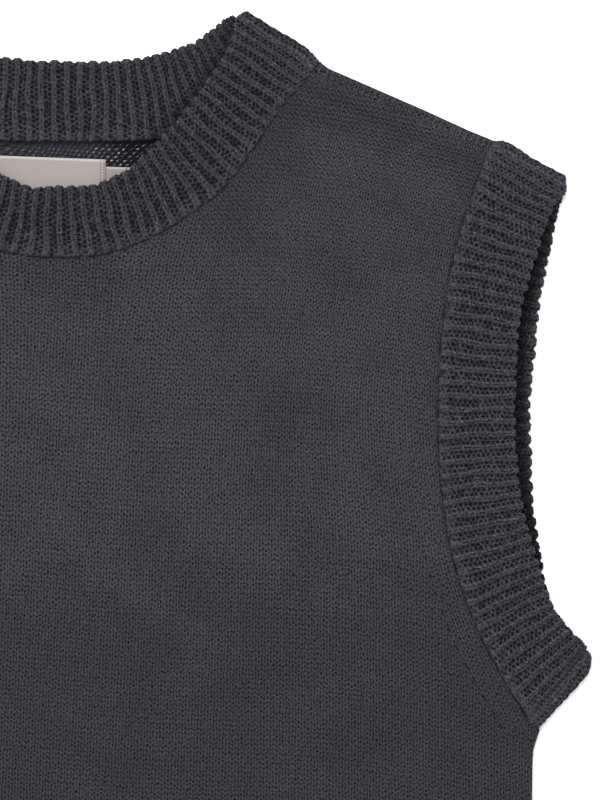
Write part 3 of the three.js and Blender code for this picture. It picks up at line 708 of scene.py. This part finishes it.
def rib_ring(ring, scallop, folds, shade, shade_reach, dim=0, mirror=False):
    """A closed ring of rib as one skin round its section, with stitch coordinates on it.

    The lower half's inside gets painted shade of strength shade, up to shade_reach from the upper
    half's free edge, and dim darkens the whole ring, its upper half twice as much.
    """
    lines = section_lines()
    columns = len(ring["turn"])
    bm = bmesh.new()
    stitches = bm.loops.layers.uv.new("stitches")
    bmesh.ops.create_grid(bm, x_segments=columns, y_segments=len(lines), size=0.5, calc_uvs=True)
    column = np.array([round((v.co.x + 0.5) * columns) for v in bm.verts])
    line = np.array([round((v.co.y + 0.5) * len(lines)) for v in bm.verts])
    share, full, side = np.array(lines)[line % len(lines)].T
    c = column % columns
    rib, turn = c / COLUMNS_PER_RIB, ring["turn"][c]
    sway = 2 * math.pi * c / columns  # small waves round the ring, as hands leave the band
    wobble = 0.06 * np.sin(7 * sway + 5 * share) + 0.05 * np.sin(23 * sway + 9 * share + 1)
    outer_ridge, inner_ridge = ridge(rib + wobble), ridge(rib + wobble + 0.5)
    lies_under = eased(turn / math.pi)
    at_fold = np.sin(turn)
    from_fold, upper_half = ring["from_fold"][c], c < ring["half"]
    freedom = eased(from_fold / FREE_RIBS)
    deep_rib = RIB_HOLLOW * (0.4 + 0.6 * eased(from_fold / HOLLOW_RIBS))
    outer = FOLD_OUTSIDE - (1 - outer_ridge) * deep_rib * (1 - FLATTENED * lies_under)
    inner = FOLD_INSIDE + (1 - inner_ridge) * deep_rib * lies_under
    middle = (outer + inner) / 2
    full_outer = full + (1 - full) * at_fold * (share < 0.5)
    radius = middle + np.where(side > 0, (outer - middle) * full_outer, (inner - middle) * full)
    notch = (1 - np.where(lies_under < 0.5, outer_ridge, inner_ridge)) ** 1.8
    teeth = scallop * (0.3 + 0.7 * freedom) * (0.45 - notch)
    teeth = teeth - PAIR_TEETH * np.cos(4 * math.pi * (rib + wobble)) + SMALL_TEETH * np.sin(67 * sway)
    seam, edge, fold = ring["seam"][c], ring["edge"][c], ring["fold"][c]
    direction = (edge - seam) / np.linalg.norm(edge - seam, axis=1)[:, None]
    uneven = SLOW_SWING * np.sin(11 * sway + 2) + QUICK_SWING * np.sin(31 * sway)
    reach = (teeth * eased((share - 0.85) / 0.15) + uneven * eased((share - 0.6) / 0.4)) * (1 - at_fold)
    runs_on = eased(1 - from_fold / RUN_ON_RIBS) * (1 - 0.6 * at_fold)
    runs_on = runs_on * np.where(ring["near_end"][c], folds[1][0], folds[0][0]) * MM
    reach = reach + runs_on * eased((share - 0.7) / 0.3)
    plan = seam + (edge - seam) * share[:, None] + direction * reach[:, None]
    bulge = [np.interp(share, *np.array(rows).T) * MM for _, rows in folds]
    bulge = np.where(ring["near_end"][c], bulge[1], bulge[0]) + STITCH_BUMPS[line % len(lines)]
    plan = plan + fold * (at_fold * (radius + bulge))[:, None]
    lift = EDGE_LIFT * upper_half * eased(from_fold / LIFT_RIBS) * eased((share - 0.35) / 0.65)
    height = FOLD_OUTSIDE + np.cos(turn) * radius + lift
    width = np.linalg.norm(edge - seam, axis=1)
    rows = share * width / COURSE
    # deep is painted shade on the lower half's inside beside the upper half's free edge, with dim
    # added.
    from_edge_up = distance(plan, ring["edge_up"])[0] / shade_reach
    deep = shade * (1 - eased((from_edge_up - 0.4) / 0.6)) * lies_under * (0.5 + 0.5 * freedom)
    deep = np.maximum(deep * (side < 0), np.where(upper_half, 2, 1) * dim)
    near_fold = eased(1 - from_fold / LIFT_RIBS)
    for vert, (x, y), z in zip(bm.verts, plan, height):
        vert.co = (-x if mirror else x, y, z)
    edges = bm.verts.layers.float_vector.new("edges")
    beside_fold = bm.verts.layers.float_vector.new("fold")
    for i, vert in enumerate(bm.verts):
        vert[edges] = (share[i] * width[i] / MM, (1 - share[i]) * width[i] / MM, deep[i])
        vert[beside_fold] = (near_fold[i], 0, 0)
    for face in bm.faces:
        is_outer = min(line[loop.vert.index] for loop in face.loops) < len(lines) // 2
        for loop in face.loops:
            i = loop.vert.index
            count = column[i] / COLUMNS_PER_RIB + wobble[i]
            loop[stitches].uv = (count, rows[i]) if is_outer else (count + 0.5, rows[i] + OTHER_SIDE)
    bmesh.ops.remove_doubles(bm, verts=bm.verts, dist=SAME_PLACE)
    bmesh.ops.recalc_face_normals(bm, faces=bm.faces[:])
    return bm


def rib_paint(name, bright, between_dots):
    """One-by-one rib: two light legs on each ridge, and staggered dark dots of painted shade in each
    hollow.
    """
    def stitches(tree):
        node = tree.nodes.new("ShaderNodeUVMap")
        node.uv_map = "stitches"
        rib, row, _ = parts_of(tree, node.outputs[0])
        from_seam, from_edge, deep = attribute(tree, "edges")
        near_fold, _, _ = attribute(tree, "fold")
        even = number(tree, "MULTIPLY", rib, 2.6)
        row = strayed(tree, row, even, row, size=0.9, amount=1.1)
        rib = strayed(tree, rib, row, even, size=0.8, amount=0.2)
        rib = strayed(tree, rib, even, row, size=2.1, amount=0.22)
        aside = number(tree, "SUBTRACT", number(tree, "FRACT", number(tree, "ADD", rib, 0.5)), 0.5)
        sway = number(tree, "MULTIPLY_ADD", wave(tree, row), 0.06, -0.03)
        middle = hill(tree, number(tree, "ADD", aside, sway), 0, 0.1)
        middle = product(tree, middle, ramp(tree, noise(tree, even, row, 0.9), 0.35, 0.6, 0.35, 1.1))
        apart = number(tree, "ABSOLUTE", aside)
        hollow = ramp(tree, apart, 0.13, 0.22)
        stagger = number(tree, "MULTIPLY", number(tree, "LESS_THAN", aside, 0), 0.5)
        dots = wave(tree, number(tree, "ADD", row, stagger))
        dots = product(tree, dots, hill(tree, apart, 0.34, 0.22))
        uneven = ramp(tree, noise(tree, even, row, 1.7), 0.34, 0.6, 0.5, 1.5)
        dots = product(tree, ramp(tree, dots, 0.2, 0.65), uneven)
        patchy = noise(tree, even, row, 0.6)
        patchy = ramp(tree, patchy, 0.35, 0.65, between_dots - 0.2, between_dots + 0.2)
        in_hollow = product(tree, hollow, number(tree, "MULTIPLY_ADD", dots, 0.75, patchy))
        slant = number(tree, "POWER", wave(tree, number(tree, "MULTIPLY_ADD", apart, 1.6, row)), 3)
        on_ridge = number(tree, "MAXIMUM", product(tree, middle, 0.95), product(tree, slant, 0.6))
        on_ridge = product(tree, on_ridge, number(tree, "SUBTRACT", 1, hollow))
        calm = ramp(tree, from_seam, 1.5, 4.5, 0.6, 1)
        calm = product(tree, calm, ramp(tree, from_edge, 0.5, 3, 0.8, 1))
        calm = product(tree, calm, number(tree, "MULTIPLY_ADD", near_fold, -0.12, 1))
        dark = product(tree, number(tree, "MAXIMUM", in_hollow, on_ridge), calm)
        flecks = ramp(tree, noise(tree, row, even, 2.4), 0.56, 0.68, 0, 0.6)
        dark = number(tree, "MAXIMUM", dark, flecks)
        broken = ramp(tree, noise(tree, even, row, 0.55), 0.35, 0.62, 0.1, 1)
        # Dark line along the linked seam: partly the linking stitches, partly painted shade in the
        # seam's groove.
        seam = ramp(tree, from_seam, 0.1, 1.0, 0.85, 0)
        knots = product(tree, hill(tree, from_seam, 1.3, 1.5), ramp(tree, apart, 0.1, 0.35, 0.2, 0.85))
        seam = product(tree, number(tree, "MAXIMUM", seam, knots), broken)
        seam = product(tree, seam, number(tree, "MULTIPLY_ADD", near_fold, -0.8, 1))
        dark = number(tree, "MAXIMUM", dark, seam)
        fibres = ramp(tree, noise(tree, even, row, 2.6, detail=3), 0.35, 0.65, 0.45, 1.7)
        # Painted shade from deep, lifted in random specks.
        specks = ramp(tree, noise(tree, even, row, 2.3), 0.49, 0.62, 1, 0.4)
        shade = number(tree, "SUBTRACT", 1, product(tree, deep, specks))
        return dark, product(tree, fibres, shade), number(tree, "SUBTRACT", 1, dark)

    # The near-black hollow colour is painted shade in the rib's hollows.
    return yarn_paint(name, bright, srgb(1, 1, 7), stitches)


neck_paint = rib_paint("rib_of_the_neck", srgb(56, 56.6, 62), 0.55)
neck_columns = ring_columns(
    neck_front, neck_back, neck_folds, (-FRONT_RIBS, FRONT_RIBS), (-BACK_RIBS, BACK_RIBS)
)
neck_ring = rib_ring(
    neck_columns, NECK_SCALLOP, (NECK_FOLD, NECK_FOLD), shade=0.5, shade_reach=6 * MM, dim=0.05
)
neckband = finished("neckband_knit", neck_ring, neck_paint)
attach(neckband, "root")
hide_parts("neckband")

# Armhole bands: a ring of the same rib round each armhole, folded at the shoulder and underarm.
# The inside of the back half shows as a strip beyond the front half's free edge, dark with painted
# shade.
ARM_SCALLOP = 0.65 * MM
ARM_SHADE, ARM_SHADE_REACH = 0.93, 5.8 * MM
SHOULDER_FOLD = (
    2.1,
    ((0, -0.3), (0.1, 1.4), (0.2, 1.7), (0.3, 1.6), (0.5, 0.8), (0.8, 0.8), (0.93, 0.9), (1, 0.8)),
)
UNDERARM_FOLD = (
    0.2,
    ((0, 0.9), (0.1, 1.1), (0.3, 1.4), (0.67, 2.2), (0.78, 2.3), (0.88, 1.7), (0.95, 0.1), (1, -0.6)),
)
both_folds = (SHOULDER_FOLD, UNDERARM_FOLD)
arm_paint = rib_paint("rib_of_the_armholes", srgb(55.5, 56.1, 61.5), 0.43)
arm_columns = ring_columns(arm_front, arm_back, arm_folds, (0, ARM_RIBS), (0, ARM_RIBS))
for name, node, mirror in (
    ("armhole_knit_left", "armhole_band_left", False),
    ("armhole_knit_right", "armhole_band_right", True),
):
    arm_ring = rib_ring(
        arm_columns, ARM_SCALLOP, both_folds, ARM_SHADE, ARM_SHADE_REACH, mirror=mirror
    )
    band = finished(name, arm_ring, arm_paint)
    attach(band, "root")
    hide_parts(node)

# Hems: the same rib knitted on below each panel, a straight strip that ends in a loose round edge.
# The front hem lies on the back hem, and both are thin at the sides, where they fold.
HEM_HALF, HEM_END, HEM_RIBS = 152 * MM, -212 * MM, 73
HEM_TOP_HALF, HEM_START = SIDE[0][0] * MM, NECK_POINT_Y - SIDE[0][1] * MM
HEM_NARROWS, SIDE_SPARE = 12 * MM, 0.5 * MM
HEM_ROUND, HEM_SEAM = 1.2 * MM, 0.05 * MM
HEM_GATHER = 1.5  # mesh lines lie closer together towards the lower edge
RIB_STARTS = 3 * MM  # how soon below the panel the ridges are full
HIDDEN_RELIEF = 0.5 * MM  # the back hem's ridges lie under the front hem
PAST_SEAM = 3  # millimetres: a hem has no linked seam, so its pattern starts beyond one


def rib_hem(low, full, relief, steps=(HEM_RIBS * COLUMNS_PER_RIB, 30)):
    """A straight strip of rib as a shell from height low, with ridges on its upper side."""
    def place(grid):
        down = (1 - grid[:, 1]) / 2
        down = 1 - (1 - down) ** HEM_GATHER
        y = HEM_START - HEM_SEAM + (HEM_END - HEM_START + HEM_SEAM) * down
        half = HEM_HALF + (HEM_TOP_HALF - HEM_HALF) * (1 - eased((HEM_START - y) / HEM_NARROWS))
        return np.column_stack([grid[:, 0] * half, y])

    def ribs(plan):
        return plan[:, 0] / HEM_HALF * HEM_RIBS / 2

    def shape(plan):
        from_end = np.clip((plan[:, 1] - HEM_END) / HEM_ROUND, 0, 1)
        from_side = np.clip((HEM_HALF + SIDE_SPARE - np.abs(plan[:, 0])) / EDGE_ROLL, 0, 1)
        round_end = np.sqrt(1 - (1 - from_end) ** 2)
        rib_starts = eased((HEM_START - plan[:, 1]) / RIB_STARTS)
        return round_end * np.sqrt(1 - (1 - from_side) ** 2), rib_starts

    def top(plan):
        round_off, rib_starts = shape(plan)
        tall = full - relief + relief * ridge(ribs(plan)) * rib_starts
        return low + full / 2 + (tall - full / 2) * round_off + THINNEST

    def bottom(plan):
        round_off, _ = shape(plan)
        return low + full / 2 - full / 2 * round_off

    bm = cloth_shell(steps, place, top, bottom)
    stitches = bm.loops.layers.uv.new("stitches")
    edges = bm.verts.layers.float_vector.new("edges")
    plan = np.array([v.co for v in bm.verts])[:, :2]
    count, rows = ribs(plan), (HEM_START - plan[:, 1]) / COURSE
    for i, vert in enumerate(bm.verts):
        vert[edges] = (PAST_SEAM + rows[i] * COURSE / MM, (plan[i, 1] - HEM_END) / MM, 0)
        for loop in vert.link_loops:
            loop[stitches].uv = (count[i], rows[i])
    return bm


for name, node, low, full, relief, lies_on in (
    ("hem_knit_back", "hem_back", OFF_FLOOR, JERSEY, HIDDEN_RELIEF, "floor"),
    ("hem_knit_front", "hem_front", FRONT_REST, RIB, RIB - JERSEY, "hem_knit_back"),
):
    hem = finished(name, rib_hem(low, full, relief), arm_paint)
    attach(hem, "root")
    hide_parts(node)

# Neck label and size tab: blank beige woven tapes, folded double and sewn to the inside of the
# back below the neckband. The tab is tucked in under the label's right end.
TAPE, TAPE_WAVE = 0.6 * MM, 0.12 * MM
LABEL_SLOPE = -1.3 / 35
WEAVE_RELIEF = 0.08 * MM


def woven_tape(left, right, top_drop, height, rest):
    """A flat tape as a shell, slightly waved, with its weave coordinates in millimetres.

    left and right count from the centre line, top_drop down from the neck point.
    """
    def place(grid):
        x = (left + (right - left) * (grid[:, 0] + 1) / 2) * MM
        y = NECK_POINT_Y - (top_drop + height * (1 - grid[:, 1]) / 2) * MM + x * LABEL_SLOPE
        return np.column_stack([x, y])

    def bottom(plan):
        return rest + TAPE_WAVE * (1 + np.sin(plan[:, 0] / (6 * MM)) * np.cos(plan[:, 1] / (5 * MM)))

    bm = cloth_shell((60, 24), place, lambda plan: bottom(plan) + TAPE, bottom)
    weave = bm.verts.layers.float_vector.new("weave")
    for vert in bm.verts:
        down = NECK_POINT_Y + vert.co.x * LABEL_SLOPE - vert.co.y
        vert[weave] = (vert.co.x / MM - left, right - vert.co.x / MM, down / MM - top_drop)
    return bm


def tape_paint(tree):
    """Plain weave with a paler folded top edge and two rows of sewing holes near the end."""
    from_left, from_right, down = attribute(tree, "weave")
    thread = number(tree, "MULTIPLY", from_left, 2.6)
    pick = number(tree, "MULTIPLY", down, 2.2)
    over = product(tree, wave(tree, thread), wave(tree, pick))
    fold = ramp(tree, down, 0.5, 1.1, 1, 0)
    holes = number(tree, "ADD", hill(tree, from_right, 0.6, 0.35), hill(tree, from_right, 1.7, 0.35))
    holes = product(tree, holes, ramp(tree, wave(tree, down), 0.4, 0.7))
    fleck = ramp(tree, noise(tree, thread, pick, 1.3, detail=3), 0.3, 0.7, 0.95, 1.05)
    lightness = number(tree, "MULTIPLY_ADD", fold, 0.45, fleck)
    dark = number(tree, "ADD", product(tree, over, 0.25), product(tree, holes, 1.6))
    return dark, lightness, number(tree, "SUBTRACT", over, holes)


label_colours = srgb(136, 129, 125), srgb(98, 91, 87)
label_paint = yarn_paint("label_tape", *label_colours, tape_paint, WEAVE_RELIEF)
label_tape = woven_tape(left=-27, right=15, top_drop=32.4, height=16, rest=2.15 * MM)
label = finished("label_woven", label_tape, label_paint)
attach(label, "root")
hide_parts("label")
# The tab's colours are the label's tape darkened by painted shade, where it lies tucked under the
# label.
tab_shaded_colours = srgb(128, 121, 117), srgb(92, 85, 81)
tab_shaded_paint = yarn_paint("size_tab_tape_shaded", *tab_shaded_colours, tape_paint, WEAVE_RELIEF)
tab_tape = woven_tape(left=13.6, right=23.7, top_drop=34.7, height=12.5, rest=1.72 * MM)
tab = finished("size_tab_woven", tab_tape, tab_shaded_paint)
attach(tab, "root")
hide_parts("size_tab")
